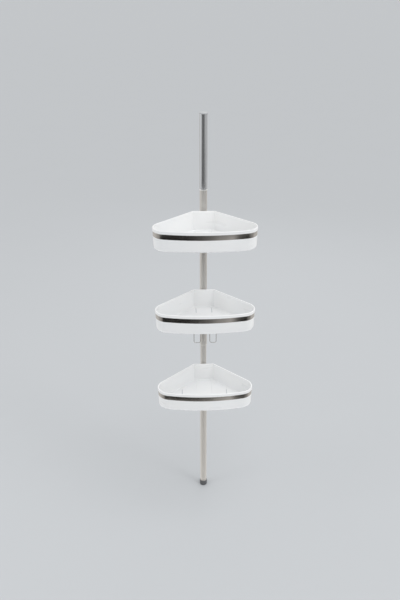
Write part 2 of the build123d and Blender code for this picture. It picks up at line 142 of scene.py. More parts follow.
def colour(label, description, hex_code):
    """A colour that the user may change."""
    return FloatVectorProperty(
        name=label, description=description, default=linear(hex_code), subtype="COLOR", min=0, max=1
    )


class CaddyBasketSizes(PropertyGroup):
    """Section and plan of the baskets."""

    back_half_width: length("Back half width", "Half of the flat back's width", 0.038)
    corner_radius: length("Corner radius", "Radius of the two front corners in plan", 0.046)
    front_bow: length("Front bow", "How far the front's middle stands before its corners", 0.0135)
    back_rounding: length("Back rounding", "Outer radius from back to side", 0.011)
    inner_back_rounding: length("Inner back rounding", "Inner radius from back to side", 0.0045)
    lip_height: length("Lip height", "Height of the lip above the trim band", 0.0103)
    band_height: length("Band height", "Height of the trim band", 0.0171)
    band_seat: length("Band seat", "How deep the seat of the trim band lies behind the lip", 0.0015)
    band_thickness: length("Band thickness", "Thickness of the steel strip", 0.0006)
    band_crown: length("Band crown", "How far the rolled strip bulges in the middle", 0.00012)
    band_end: length("Band end", "Where the band ends, forwards from the back", 0.0925)
    wall_step: length("Wall step", "How far the wall stands back from the lip", 0.001)
    foot_step: length("Foot step", "How far the wall has drawn in at the underside", 0.0027)
    rim_width: length("Rim width", "Width of the rim seen from above", 0.0042)
    cavity_step: length("Cavity step", "How far the inside has drawn in at the floor", 0.0056)
    floor_thickness: length("Floor thickness", "Thickness of the basket's floor", 0.0035)
    underside_rounding: length("Underside rounding", "Outer radius round the floor", 0.008)
    floor_rounding: length("Floor rounding", "Inner radius round the floor", 0.004)
    rim_rounding: length("Rim rounding", "Radius of the rim's edges", 0.0012)
    slot_width: length("Slot width", "Width of the drain slots", 0.003)
    trough_depth: length("Trough depth", "Depth of the shallow trough in the floor", 0.0015)


class CaddyPoleSizes(PropertyGroup):
    """Small shapes of the pole and of the pieces on it."""

    tube_edge: length("Tube edge", "Rounding of the tubes' cut ends", 0.00024)
    groove_depth: length("Groove depth", "Depth of the grip grooves round the foot", 0.0006)
    sole_depth: length("Sole depth", "Depth of the rings in the sole and the ceiling pad", 0.0008)
    wire_radius: length("Wire radius", "Radius of the hooks' wire", 0.001)
    turns: IntProperty(
        name="Steps round", description="Grid steps round the tubes", default=112, min=24, max=256
    )


class CaddyColours(PropertyGroup):
    """Colours of the finishes."""

    plastic: colour("Basket plastic", "White of the moulded baskets", "F1F1F0")
    plastic_shade: colour("Basket shade", "Cooler white that clouds the plastic faintly", "EBEDEF")
    band: colour("Band steel", "Colour of the polished strip", "B8B5B1")
    pole: colour("Pole steel", "Colour of the satin tubes", "D9D7D3")
    top: colour("Top steel", "Colour of the polished top tube", "CDCFD2")
    rubber: colour("Foot rubber", "Dark grey of the foot", "66676A")
    floor: colour("Studio floor", "Pale floor that the caddy stands on", "BFC2C5")


# Shapes


def rounded(corners, steps=6):
    """Points of a path through corners (a, b, radius), as one array.

    Each corner becomes an arc that touches both of its sides: the arc's centre lies on the
    bisector, the radius over the sine of the half angle away, and its points turn evenly
    from the first touching point to the second.
    """
    table = np.array(corners, float)
    corner, radius = table[:, :2], table[:, 2:]
    back = np.roll(corner, 1, 0) - corner
    on = np.roll(corner, -1, 0) - corner
    back /= np.maximum(np.linalg.norm(back, axis=1, keepdims=True), 1e-12)
    on /= np.maximum(np.linalg.norm(on, axis=1, keepdims=True), 1e-12)
    half = np.arccos(np.clip((back * on).sum(1, keepdims=True), -1, 1)) / 2
    half = np.clip(half, 1e-3, None)
    bisector = back + on
    bisector /= np.maximum(np.linalg.norm(bisector, axis=1, keepdims=True), 1e-12)
    centre = corner + bisector * radius / np.sin(half)
    first = corner + back * radius / np.tan(half) - centre
    last = corner + on * radius / np.tan(half) - centre
    turn = np.maximum(math.pi - 2 * half, 1e-4)[:, None, :]
    t = np.linspace(0, 1, steps + 1)[None, :, None]
    leaving, coming = np.sin((1 - t) * turn), np.sin(t * turn)
    arcs = (leaving * first[:, None] + coming * last[:, None]) / np.sin(turn)
    return (centre[:, None] + arcs).reshape(-1, 2)


def grid_faces(rows, columns, close_rows=False, close_columns=False, ends=False):
    """Quads between neighbouring points of a grid.

    If asked, the last row or column is joined to the first, and the first and the last row
    each get a face of their own.
    """
    i = np.arange(rows if close_rows else rows - 1)[:, None]
    j = np.arange(columns if close_columns else columns - 1)[None, :]
    i, j = np.broadcast_arrays(i, j)
    i_on, j_on = (i + 1) % rows, (j + 1) % columns
    corners = (i * columns + j, i * columns + j_on, i_on * columns + j_on, i_on * columns + j)
    faces = np.stack([c.ravel() for c in corners], 1).tolist()
    if ends:
        first = np.arange(columns)
        faces += [first.tolist(), ((rows - 1) * columns + first).tolist()]
    return faces


def solid_mesh(name, points, faces):
    """A closed mesh with its doubles merged and its normals pointing outwards."""
    mesh = bpy.data.meshes.new(name)
    mesh.from_pydata(np.asarray(points).reshape(-1, 3).tolist(), [], faces)
    work = bmesh.new()
    work.from_mesh(mesh)
    bmesh.ops.remove_doubles(work, verts=work.verts, dist=1e-6)
    bmesh.ops.dissolve_degenerate(work, edges=work.edges, dist=1e-7)
    bmesh.ops.recalc_face_normals(work, faces=work.faces)
    work.to_mesh(mesh)
    work.free()
    mesh.validate()
    return mesh


def turned(name, profile, steps, start=0.0, sweep=2 * math.pi):
    """A profile of (radius, height) carried round the Z axis from the angle start.

    Point = (radius cos a, radius sin a, height). A full turn closes on itself, and a part turn
    gets the profile's own face at both ends.
    """
    full = math.isclose(sweep, 2 * math.pi)
    angles = start + np.linspace(0, sweep, steps + (0 if full else 1), endpoint=not full)
    way = np.stack((np.cos(angles), np.sin(angles)), 1)[:, None]
    rings = profile[None, :, :1] * way
    heights = np.broadcast_to(profile[None, :, 1:], (*rings.shape[:2], 1))
    points = np.concatenate((rings, heights), 2)
    faces = grid_faces(*points.shape[:2], close_rows=full, close_columns=True, ends=not full)
    return solid_mesh(name, points, faces)


def prism(name, plan, low, high):
    """A closed plan carried straight up from one height to another, with a face at both ends."""
    count = len(plan)
    points = np.stack([np.column_stack((plan, np.full(count, z))) for z in (low, high)])
    return solid_mesh(name, points, grid_faces(2, count, close_columns=True, ends=True))


def piece_from(mesh, name, stands_for, material, weighted=True):
    """Links a mesh as the visible piece of one CAD node, and rides it on that node's body.

    Normals weighted by the faces' areas keep flat faces flat beside small roundings. They are
    stored in the mesh, so no modifier stays on the piece.
    """
    mesh.materials.clear()
    mesh.materials.append(material)
    mesh.shade_smooth()
    mesh.set_sharp_from_angle(angle=math.radians(38))
    piece = bpy.data.objects.new(name, mesh)
    bpy.context.scene.collection.objects.link(piece)
    if weighted:
        normals = piece.modifiers.new("Weighted normals", "WEIGHTED_NORMAL")
        normals.keep_sharp = True
        graph = bpy.context.evaluated_depsgraph_get()
        piece.data = bpy.data.meshes.new_from_object(
            piece.evaluated_get(graph), preserve_all_data_layers=True, depsgraph=graph
        )
        piece.modifiers.clear()
    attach(piece, frame["nodes"][stands_for]["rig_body"])
    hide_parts(stands_for)
    return piece


def plan_outline(inset, back_radius, back_y, half_width, break_y, sizes):
    """Plan of a basket moved inwards by each inset: an array of rings of (x, y).

    The right half runs from the middle of the back along the flat back, round an arc, down
    the 45 degree side, round the front corner's arc and along the bowed front's arc to the
    middle; the left half is its mirror image. Both arcs keep their centres, and their radii
    shrink by the inset. The side has two points close together at break_y, where the band ends.
    """
    inset = np.atleast_1d(inset)[:, None]
    back_radius = np.atleast_1d(back_radius)[:, None]
    corner = sizes.corner_radius
    side_sum = sizes.back_half_width + back_y
    corner_x = half_width - corner
    corner_y = side_sum - corner * math.sqrt(2) - corner_x
    front = (corner_x**2 + sizes.front_bow**2) / (2 * sizes.front_bow) + corner
    front_y = corner_y - corner - sizes.front_bow + front
    meet = math.atan2(corner_y - front_y, corner_x)

    side = side_sum - inset * math.sqrt(2)
    y_back = back_y - inset
    reach = back_radius * math.tan(math.pi / 8)
    x_flat = side - y_back - reach
    flat = np.linspace(0, 1, 7)[None, :-1]
    arc = np.radians(np.linspace(90, 45, 10))[None, :]
    arc_x = x_flat + back_radius * np.cos(arc)
    arc_y = y_back - back_radius + back_radius * np.sin(arc)
    corner_top = corner_y + (corner - inset) * math.sin(math.pi / 4)
    upper = np.linspace(0, 1, 10)[None, 1:]
    lower = np.linspace(0, 1, 6)[None, :-1]
    side_y = np.concatenate(
        (
            arc_y[:, -1:] + (break_y + BREAK - arc_y[:, -1:]) * upper,
            break_y - BREAK + (corner_top - break_y + BREAK) * lower,
        ),
        1,
    )
    turn = np.linspace(math.pi / 4, meet, 44)[None, :-1]
    bow = np.linspace(meet, -math.pi / 2, 48)[None, :]
    xs = (
        x_flat * flat,
        arc_x,
        side - side_y,
        corner_x + (corner - inset) * np.cos(turn),
        (front - inset) * np.cos(bow),
    )
    ys = (
        y_back + 0 * flat,
        arc_y,
        side_y,
        corner_y + (corner - inset) * np.sin(turn),
        front_y + (front - inset) * np.sin(bow),
    )
    right = np.stack((np.concatenate(xs, 1), np.concatenate(ys, 1)), 2)
    left = right[:, -2:0:-1] * np.array((-1, 1))
    return np.concatenate((right, left), 1)


def cut(mesh, tool, operation):
    """The mesh after one exact Boolean operation with a tool mesh."""
    body = bpy.data.objects.new("body", mesh)
    other = bpy.data.objects.new("tool", tool)
    for made in (body, other):
        bpy.context.scene.collection.objects.link(made)
    step = body.modifiers.new("Cut", "BOOLEAN")
    step.operation, step.object, step.solver = operation, other, "EXACT"
    bpy.context.view_layer.update()
    graph = bpy.context.evaluated_depsgraph_get()
    result = bpy.data.meshes.new_from_object(body.evaluated_get(graph))
    for made in (body, other):
        bpy.data.objects.remove(made)
    return result


def slot_plan(x, start_y, end_y, width):
    """Plan of a slot with round ends that runs front to back."""
    half = width / 2
    left, right = x - half, x + half
    corners = ((left, end_y), (right, end_y), (right, start_y), (left, start_y))
    return rounded([(*corner, half * 0.999) for corner in corners], steps=8)


# Finishes


def add_node(tree, kind, inputs=None, **settings):
    """Adds a node: settings are its own, inputs are values or sockets that link to it."""
    node = tree.nodes.new(kind)
    for key, value in settings.items():
        setattr(node, key, value)
    for key, value in (inputs or {}).items():
        if isinstance(value, NodeSocket):
            tree.links.new(value, node.inputs[key])
        else:
            node.inputs[key].default_value = value
    return node


def new_material(name):
    """An empty material with its node tree and the Object coordinates, in metres."""
    material = bpy.data.materials.new(name)
    material.use_nodes = True
    tree = material.node_tree
    tree.nodes.clear()
    return material, tree, add_node(tree, "ShaderNodeTexCoord").outputs["Object"]


def rgba(tone):
    """A colour with full alpha, from its linear values or its six hex digits."""
    return (*(linear(tone) if isinstance(tone, str) else tone), 1.0)


def noise(tree, place, scale, detail, roughness=0.5):
    """Cloudy noise with patches about 1/scale in size."""
    settings = {"Vector": place, "Scale": scale, "Detail": detail, "Roughness": roughness}
    return add_node(tree, "ShaderNodeTexNoise", settings).outputs["Fac"]


def blend(tree, share, first, second):
    """A colour that goes from first to second as the share goes from 0 to 1."""
    settings = {0: share, 6: first, 7: second}
    return add_node(tree, "ShaderNodeMix", settings, data_type="RGBA").outputs[2]


def spread(tree, value, start, end, low=0.0, high=1.0):
    """A value that goes from low to high as the given one goes from start to end."""
    settings = {"Value": value, "From Min": start, "From Max": end, "To Min": low, "To Max": high}
    return add_node(tree, "ShaderNodeMapRange", settings).outputs[0]


def relief(tree, height, depth, edge):
    """Normals with the relief of a height texture and with edges broken by the radius edge."""
    broken = add_node(tree, "ShaderNodeBevel", {"Radius": edge}, samples=4).outputs[0]
    settings = {"Height": height, "Distance": depth, "Strength": 1.0, "Normal": broken}
    return add_node(tree, "ShaderNodeBump", settings).outputs[0]


def surface(tree, settings):
    """Ends a material's tree with one Principled surface."""
    shader = add_node(tree, "ShaderNodeBsdfPrincipled", settings)
    add_node(tree, "ShaderNodeOutputMaterial", {"Surface": shader.outputs[0]})


def moulded(name, light, dark, cloud, grain, depth, roughness, edge=0.0003, coat=0.0, ior=1.5):
    """A moulded plastic or rubber.

    Its colour clouds between light and dark over patches of size cloud, its surface has the
    mould's grain of size grain and the given depth, its roughness wanders between two values
    along faint flow marks, and its edges are broken by the radius edge.
    """
    flow_marks = (9, 9, 30)  # per metre: marks about 110 mm wide and 33 mm high
    material, tree, place = new_material(name)
    patches = noise(tree, place, 1 / cloud, 3.0, 0.55)
    flow = add_node(tree, "ShaderNodeMapping", {"Vector": place, "Scale": flow_marks})
    marks = noise(tree, flow.outputs[0], 1.0, 2.0)
    skin = noise(tree, place, 1 / grain, 2.0, 0.6)
    settings = {
        "Base Color": blend(tree, patches, rgba(light), rgba(dark)),
        "Roughness": spread(tree, marks, 0.3, 0.7, *roughness),
        "Normal": relief(tree, skin, depth, edge),
        "IOR": ior,
        "Coat Weight": coat,
        "Coat Roughness": 0.14,
    }
    surface(tree, settings)
    return material


def drawn_metal(
    name, light, dark, lines, spacing, depth, roughness, anisotropic=0.0, rotation=0.0
):
    """A metal with hairlines from brushing, drawing or turning.

    lines gives how much finer the lines are along each axis: a small number draws the line out
    along that axis. Roughness and colour vary from line to line, and slow patches of handling
    haze lie over them.
    """
    haze_size, edge = 0.035, 0.0002
    material, tree, place = new_material(name)
    scale = tuple(part / spacing for part in lines)
    drawn = add_node(tree, "ShaderNodeMapping", {"Vector": place, "Scale": scale})
    hair = noise(tree, drawn.outputs[0], 1.0, 4.0, 0.7)
    haze = noise(tree, place, 1 / haze_size, 4.0)
    both = add_node(tree, "ShaderNodeMath", {0: hair, 1: haze}, operation="ADD")
    round_z = add_node(tree, "ShaderNodeTangent", direction_type="RADIAL", axis="Z")
    settings = {
        "Base Color": blend(tree, hair, rgba(light), rgba(dark)),
        "Metallic": 1.0,
        "Roughness": spread(tree, both.outputs[0], 0.7, 1.3, *roughness),
        "Anisotropic": anisotropic,
        "Anisotropic Rotation": rotation,
        "Tangent": round_z.outputs[0],
        "Normal": relief(tree, hair, depth, edge),
    }
    surface(tree, settings)
    return material


def make_finishes(colours):
    """Every finish by the record's slot name, with sizes in metres.

    A mould's grain is really about 0.1 mm and a hairline 0.05 mm. Both are drawn 5 to 20 times
    coarser, so that they show at the size at which the caddy is seen.
    """
    up, level = (1, 1, 0.01), (0.01, 0.01, 1)
    return {
        # Glossy ABS, injection moulded: a bright white skin with soft, slightly wavy reflections.
        "basket_plastic": moulded(
            "white_abs_moulded", colours.plastic, colours.plastic_shade, cloud=0.09,
            grain=0.0016, depth=1e-6, roughness=(0.27, 0.31), coat=0.3, ior=1.53,
        ),
        # Stainless strip, polished along its length: lights smear up and down it, with dark
        # between them.
        "band_steel": drawn_metal(
            "stainless_strip_polished", colours.band, "ADA9A4", level, spacing=0.0005,
            depth=8e-7, roughness=(0.13, 0.18), anisotropic=0.6, rotation=0.25,
        ),
        # Stainless tube, satin ground along its length: an even, warm grey sheen round the tube.
        "pole_steel": drawn_metal(
            "stainless_tube_satin", colours.pole, "C8C5C1", up, spacing=0.0011,
            depth=2e-6, roughness=(0.52, 0.6), anisotropic=0.3,
        ),
        # Stainless tube, polished: cooler, with a dark stripe between two bright edges.
        "top_steel": drawn_metal(
            "stainless_tube_polished", colours.top, "BCBFC3", up, spacing=0.0016,
            depth=5e-7, roughness=(0.2, 0.26), anisotropic=0.3,
        ),
        # Bright rolled ring: the lightest line on the pole.
        "ferrule": drawn_metal(
            "bright_rolled_ring", "F6F6F5", "E6E6E5", level, spacing=0.0008,
            depth=2e-6, roughness=(0.34, 0.42),
        ),
        # Natural rubber, moulded: matte, with a dusty bloom and a fine grain.
        "foot_rubber": moulded(
            "dark_rubber_moulded", colours.rubber, "565759", cloud=0.011, grain=0.0007,
            depth=4e-5, roughness=(0.62, 0.8),
        ),
        # Soft, light grey rubber of the ceiling pad: as matte as the foot.
        "pad_rubber": moulded(
            "grey_rubber_moulded", "C9CBCC", "BBBDBF", cloud=0.012,
            grain=0.0007, depth=4e-5, roughness=(0.6, 0.78),
        ),
        # Nylon, natural: milky, smooth and faintly glossy.
        "bush_nylon": moulded(
            "natural_nylon_turned", "E6E5DF", "DAD9D2", cloud=0.02,
            grain=0.0009, depth=8e-6, roughness=(0.4, 0.5), edge=0.0002,
        ),
        # Grey nylon with the mould's fine spark-eroded grain: an even, dull satin.
        "sleeve_nylon": moulded(
            "grey_nylon_moulded", "A9ACAF", "9A9DA1", cloud=0.02,
            grain=0.0008, depth=2e-5, roughness=(0.45, 0.58),
        ),
        # White ABS with a fine satin grain, duller than the baskets.
        "carrier_plastic": moulded(
            "white_abs_grained", "E7E9EB", "DDE0E3", cloud=0.03, grain=0.0008,
            depth=2.5e-5, roughness=(0.4, 0.52), edge=0.0006,
        ),
        # Black brake rubber, slightly worn: matte and patchy.
        "shoe_rubber": moulded(
            "black_rubber_moulded", "2B2B2C", "202021", cloud=0.009,
            grain=0.0006, depth=4e-5, roughness=(0.6, 0.8),
        ),
        # Grey acetal: smooth and waxy.
        "lever_plastic": moulded(
            "grey_acetal_moulded", "7F858B", "737980", cloud=0.018,
            grain=0.0009, depth=1e-5, roughness=(0.3, 0.42), edge=0.0005,
        ),
        # Turned steel pin: fine bright rings round its axis.
        "pin_steel": drawn_metal(
            "steel_pin_turned", "C3C3C2", "A9A9A8", (1, 0.2, 0.2),
            spacing=0.0005, depth=2e-6, roughness=(0.2, 0.3),
        ),
        # Drawn stainless wire: bright, with fine lines.
        "hanger_wire": drawn_metal(
            "stainless_wire_drawn", "C9C8C5", "ADACA9", (0.3, 1, 0.3),
            spacing=0.0006, depth=2e-6, roughness=(0.16, 0.26),
        ),
        # Spring steel, oil tempered: dark grey with a blue cast.
        "spring_steel": drawn_metal(
            "spring_steel_tempered", "6E7074", "54575C", (1, 1, 1),
            spacing=0.0006, depth=3e-6, roughness=(0.28, 0.4),
        ),
    }


finishes = {}


def finish_for(node):
    """The finish of a CAD node's slot, made once."""
    if not finishes:
        finishes.update(make_finishes(bpy.context.scene.caddy_colours))
    return finishes[slot_of[node]]


# Pieces


def basket_section(sizes, height):
    """Section of a basket as (inset, height under the rim).

    It runs from the underside's edge up the outside, over the rim and down the inside to the
    floor's edge. The first and last corners only aim the neighbouring arcs and are dropped.
    """
    lip, band = -sizes.lip_height, -sizes.lip_height - sizes.band_height
    floor = sizes.floor_thickness - height
    inner_slope = (sizes.cavity_step - sizes.rim_width) / -floor
    line = rounded(
        (
            (sizes.foot_step + 0.02, -height, 0),
            (sizes.foot_step, -height, sizes.underside_rounding),
            (sizes.wall_step, band, 0.0001),
            (sizes.wall_step, lip, 0.0002),
            (0, lip, 0.0004),
            (0, 0, sizes.rim_rounding),
            (sizes.rim_width, 0, sizes.rim_rounding),
            (sizes.rim_width - inner_slope * floor, floor, sizes.floor_rounding),
            (sizes.cavity_step + 0.02, floor, 0),
        ),
        steps=ARC_STEPS,
    )
    return line[ARC_STEPS + 1 : -ARC_STEPS - 1]


def back_of(low, high, sizes):
    """Y of a basket's flat back, from the CAD box's foremost point and half width.

    The channels stand out behind the back, so the box itself doesn't give it.
    """
    corner_x = high.x - sizes.corner_radius
    side_y = low.y + sizes.front_bow + sizes.corner_radius * (1 + math.sqrt(2))
    return side_y + corner_x - sizes.back_half_width


def add_channel(mesh, side, wing, back_y, sizes):
    """A basket joined to the channel on one side of its back, a hook in plan with a closed top."""
    wall_y = back_y - sizes.wall_step
    inside, outside = wing + GAP, wing + CHANNEL_OUTSIDE
    lip_in, lip_out = (wall_y + GAP + face for face in LIP_FACES)
    root, reach = wall_y - CHANNEL_ROOT, outside - LIP_REACH
    outer = ((outside, root, 0), (outside, lip_out, 0.0008), (reach, lip_out, 0.0006))
    hook = ((inside, root, 0), *outer, (reach, lip_in, 0.0004), (inside, lip_in, 0.0004))
    cap = ((reach, root, 0), *outer)
    for corners, heights in ((hook, CHANNEL_HEIGHTS), (cap, CAP_HEIGHTS)):
        plan = rounded([(side * x, y, radius) for x, y, radius in corners], steps=4)
        mesh = cut(mesh, prism("channel", plan, *heights), "UNION")
    return mesh


def trough_tool(back_y, floor_top, depth):
    """The body that is cut away for the shallow trough: flat, with sloped sides."""
    lift, sink = floor_top + 0.003, floor_top - depth
    half = ((TROUGH_EDGE, lift), (TROUGH_EDGE, floor_top), (TROUGH_FOOT, sink))
    section = np.array([(-x, z) for x, z in half] + list(half[::-1]))
    points = np.stack([np.insert(section, 1, back_y - end, axis=1) for end in TROUGH_ENDS])
    return solid_mesh("trough", points, grid_faces(2, 6, close_columns=True, ends=True))


def basket_mesh(node, with_hooks, sizes):
    """One basket: its section carried round its plan, with flat faces closing floor and underside.

    The strip's seat is pressed 0.5 mm deeper into the wall between the lip and the lower wall,
    from band end to band end. Two channels that drop over the carrier's wings are joined to the
    back, and the trough and the slots are cut in the floor. All of it is worked out at the
    rim's level and lifted at the end.
    """
    low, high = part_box(node)
    height, half_width = high.z - low.z, high.x
    back_y = back_of(low, high, sizes)
    inset, z = basket_section(sizes, height).T
    on_inside = np.arange(len(inset)) > np.argmax(z) + ARC_STEPS
    back_radius = np.where(
        on_inside, sizes.inner_back_rounding, np.maximum(sizes.back_rounding - inset, 0.0015)
    )
    band_end = back_y - sizes.band_end + GAP
    rings = plan_outline(inset, back_radius, back_y, half_width, band_end, sizes)
    # press the strip's seat deeper, along the way from each ring to a ring just outside it
    away = 0.001
    outer = plan_outline(inset - away, back_radius + away, back_y, half_width, band_end, sizes)
    outward = (outer - rings) / away
    seat_low, seat_high = -sizes.lip_height - sizes.band_height, -sizes.lip_height
    in_seat = (z > seat_low - 1e-6) & (z < seat_high + 1e-6) & ~on_inside
    in_seat &= inset > sizes.wall_step - 1e-5
    pressed = in_seat[:, None] & (rings[:, :, 1] < band_end)
    rings = rings - outward * (pressed * (sizes.band_seat - sizes.wall_step))[:, :, None]
    count = rings.shape[1]
    points = np.concatenate((rings, np.broadcast_to(z[:, None, None], (len(z), count, 1))), 2)
    mesh = solid_mesh(node, points, grid_faces(len(z), count, close_columns=True, ends=True))

    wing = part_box(node.replace("basket", "carrier"))[1].x
    for side in (-1, 1):
        mesh = add_channel(mesh, side, wing, back_y, sizes)
    floor_top = sizes.floor_thickness - height
    mesh = cut(mesh, trough_tool(back_y, floor_top, sizes.trough_depth), "DIFFERENCE")
    for x, start, end in DRAIN_SLOTS + (HOOK_SLOTS if with_hooks else ()):
        for side in (-1, 1):
            plan = slot_plan(side * x, back_y - start, back_y - end, sizes.slot_width)
            tool = prism("slot", plan, -height - 0.001, floor_top + 0.002)
            mesh = cut(mesh, tool, "DIFFERENCE")
    mesh.transform(Matrix.Translation((0, 0, high.z)))
    return mesh


class CADDY_OT_baskets(Operator):
    """Make the three moulded baskets"""

    bl_idname = "caddy.baskets"
    bl_label = "Baskets"

    def execute(self, context):
        sizes = context.scene.caddy_baskets
        for shelf in shelves:
            node = f"basket_{shelf}"
            mesh = basket_mesh(node, shelf == 2, sizes)
            piece_from(mesh, f"{node}_moulding", node, finish_for(node))
        return {"FINISHED"}


class CADDY_OT_trim_bands(Operator):
    """Make the steel strips round the baskets"""

    bl_idname = "caddy.trim_bands"
    bl_label = "Trim bands"

    def execute(self, context):
        sizes = context.scene.caddy_baskets
        edge, steps = 0.00018, 4  # rounding of the strip's two outer edges, and its steps
        for shelf in shelves:
            node = f"trim_band_{shelf}"
            bottom, top = (corner.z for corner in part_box(node))
            basket_low, basket_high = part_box(f"basket_{shelf}")
            inner = sizes.band_seat
            outer = inner - sizes.band_thickness
            corners = ((inner, bottom, 0), (outer, bottom, edge), (outer, top, edge))
            section = rounded((*corners, (inner, top, 0)), steps=steps)
            # extra rows across the strip's face carry its crown: a parabola, highest halfway up
            rows = np.linspace(bottom, top, 12)[1:-1]
            face = np.column_stack((np.full(len(rows), outer), rows))
            half = 2 * (steps + 1)
            section = np.concatenate((section[:half], face, section[half:]))
            across = (2 * section[:, 1] - bottom - top) / (top - bottom)
            crown = np.where(section[:, 0] < inner - 1e-5, sizes.band_crown * (1 - across**2), 0)
            back_y = back_of(basket_low, basket_high, sizes)
            end_y = back_y - sizes.band_end
            radii = np.full(len(section), sizes.back_rounding)
            rings = plan_outline(
                section[:, 0] - crown, radii, back_y, basket_high.x, end_y + BREAK, sizes
            )
            keep = rings[0, :, 1] < end_y + 1e-6
            rings = rings[:, keep]
            heights = np.broadcast_to(section[:, 1][:, None, None], (*rings.shape[:2], 1))
            points = np.concatenate((rings, heights), 2)
            rows_count, columns = points.shape[:2]
            faces = grid_faces(rows_count, columns, close_rows=True)
            starts = np.arange(rows_count) * columns
            faces += [starts.tolist(), (starts + columns - 1).tolist()]
            mesh = solid_mesh(node, points, faces)
            piece_from(mesh, f"{node}_strip", node, finish_for(node))
        return {"FINISHED"}


def pipe_section(node, bore, edge):
    """Closed section of a plain tube with rounded ends, from its CAD box and its bore's radius."""
    low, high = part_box(node)
    ends = ((bore, low.z), (high.x, low.z), (high.x, high.z), (bore, high.z))
    return rounded([(radius, z, edge) for radius, z in ends], steps=4)


class CADDY_OT_tubes(Operator):
    """Make the four tubes of the pole and the bright ring on the top one"""

    bl_idname = "caddy.tubes"
    bl_label = "Tubes"

    def execute(self, context):
        sizes = context.scene.caddy_pole
        for node in ("lower_tube", "inner_tube", "main_tube", "top_tube"):
            wall = TOP_TUBE_WALL if node == "top_tube" else TUBE_WALL
            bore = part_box(node)[1].x - wall
            section = pipe_section(node, bore, sizes.tube_edge * wall / TUBE_WALL)
            piece_from(turned(node, section, sizes.turns), f"{node}_pipe", node, finish_for(node))
        node = "top_ferrule"
        low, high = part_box(node)
        tube_low, tube_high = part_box("top_tube")
        bore, edge = tube_high.x - TOP_TUBE_WALL, sizes.tube_edge
        section = rounded(
            (
                (bore, low.z, edge), (high.x, low.z, 2 * edge), (high.x, high.z, edge),
                (tube_high.x, high.z, 0), (tube_high.x, tube_low.z, 0), (bore, tube_low.z, 0),
            ),
            steps=4,
        )
        piece_from(turned(node, section, sizes.turns), "top_ferrule_ring", node, finish_for(node))
        return {"FINISHED"}


def pressed_rings(spans, level, depth):
    """Section corners of ring grooves with sloped sides in a level face."""
    slope, edge = 5e-4, 2e-4
    corners = []
    for start, end in spans:
        corners += [
            (start, level, edge), (start + slope, level + depth, edge),
            (end - slope, level + depth, edge), (end, level, edge),
        ]
    return corners


class CADDY_OT_ends(Operator):
    """Make the rubber foot and the ceiling pad"""

    bl_idname = "caddy.ends"
    bl_label = "Foot and ceiling pad"

    def execute(self, context):
        sizes = context.scene.caddy_pole
        deep, sole = sizes.groove_depth, sizes.sole_depth
        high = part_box("foot")[1]
        radius, top = high.x, high.z
        tube_low, tube_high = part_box("lower_tube")
        bore, floor = tube_high.x, tube_low.z
        corners = [(0, 0, 0), *pressed_rings(((3.2e-3, 5.7e-3), (8.2e-3, 1.01e-2)), 0, sole)]
        corners += [(radius, 0, 0.0036)]
        half_top, half_floor = 0.0009, 0.0005  # half widths of a grip groove
        for groove in (0.0075, 0.0115, 0.0155):
            corners += [
                (radius, groove - half_top, 2e-4), (radius - deep, groove - half_floor, 2e-4),
                (radius - deep, groove + half_floor, 2e-4), (radius, groove + half_top, 2e-4),
            ]
        corners += [(radius, top, 0.0008), (bore, top, 3e-4), (bore, floor, 0), (0, floor, 0)]
        mesh = turned("foot", rounded(corners, steps=5), sizes.turns)
        piece_from(mesh, "foot_cup", "foot", finish_for("foot"))

        low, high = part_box("ceiling_pad")
        radius, top, seat = high.x, high.z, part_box("top_tube")[1].z
        neck, plug, shoulder = 0.005, 0.0058, low.z + 0.0055
        corners = [(0, top, 0), *pressed_rings(((2.6e-3, 5.1e-3), (7.6e-3, 1.01e-2)), top, -sole)]
        corners += [
            (radius, top, 0.001), (radius, seat + 0.0008, 3e-4), (radius - 5e-4, seat, 2e-4),
            (neck, seat, 0), (neck, shoulder, 0), (plug, shoulder, 3e-4),
            (0.0034, low.z, 3e-4), (0, low.z, 0),
        ]
        mesh = turned("ceiling_pad", rounded(corners, steps=5), sizes.turns)
        piece_from(mesh, "ceiling_pad_moulding", "ceiling_pad", finish_for("ceiling_pad"))
        return {"FINISHED"}


class CADDY_OT_bushes(Operator):
    """Make the flanged bushes and the three split sleeves"""

    bl_idname = "caddy.bushes"
    bl_label = "Bushes and sleeves"

    def execute(self, context):
        sizes = context.scene.caddy_pole
        edge = sizes.tube_edge
        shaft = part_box("inner_tube")[1].x
        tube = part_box("main_tube")
        bore = tube[1].x - TUBE_WALL
        low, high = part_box("guide_bush")
        guide = (
            (shaft + RUNNING, low.z, edge), (high.x, low.z, 2 * edge), (high.x, tube[0].z, edge),
            (bore, tube[0].z, 0), (bore, high.z, 0), (shaft + RUNNING, high.z, 0),
        )
        low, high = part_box("lower_bush")
        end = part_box("lower_tube")[1].z
        lower = (
            (shaft, low.z, 0), (bore, low.z, 0), (bore, end, 0),
            (high.x, end, edge), (high.x, high.z, 2 * edge), (shaft, high.z, edge),
        )
        for node, corners in (("guide_bush", guide), ("lower_bush", lower)):
            mesh = turned(node, rounded(corners, steps=4), sizes.turns)
            piece_from(mesh, f"{node}_turned", node, finish_for(node))
        wall, slit, flange, bead = 0.00152, 0.003, 0.002, 0.0007
        for shelf in shelves:
            node = f"sleeve_{shelf}"
            low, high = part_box(node)
            bore = tube[1].x + RUNNING
            outside = bore + wall
            corners = (
                (bore, low.z, 3e-4), (high.x, low.z, 6e-4),
                (high.x, low.z + flange, 4e-4), (outside, low.z + flange, 2e-4),
                (outside, high.z - 0.0015, 0), (outside + bead, high.z - 0.0012, 3e-4),
                (outside + bead, high.z, 5e-4), (bore, high.z, 3e-4),
            )
            half = math.asin(slit / 2 / bore)
            section = rounded(corners, steps=4)
            mesh = turned(node, section, 96, math.pi / 2 + half, 2 * (math.pi - half))
            piece_from(mesh, f"{node}_split", node, finish_for(node))
        return {"FINISHED"}


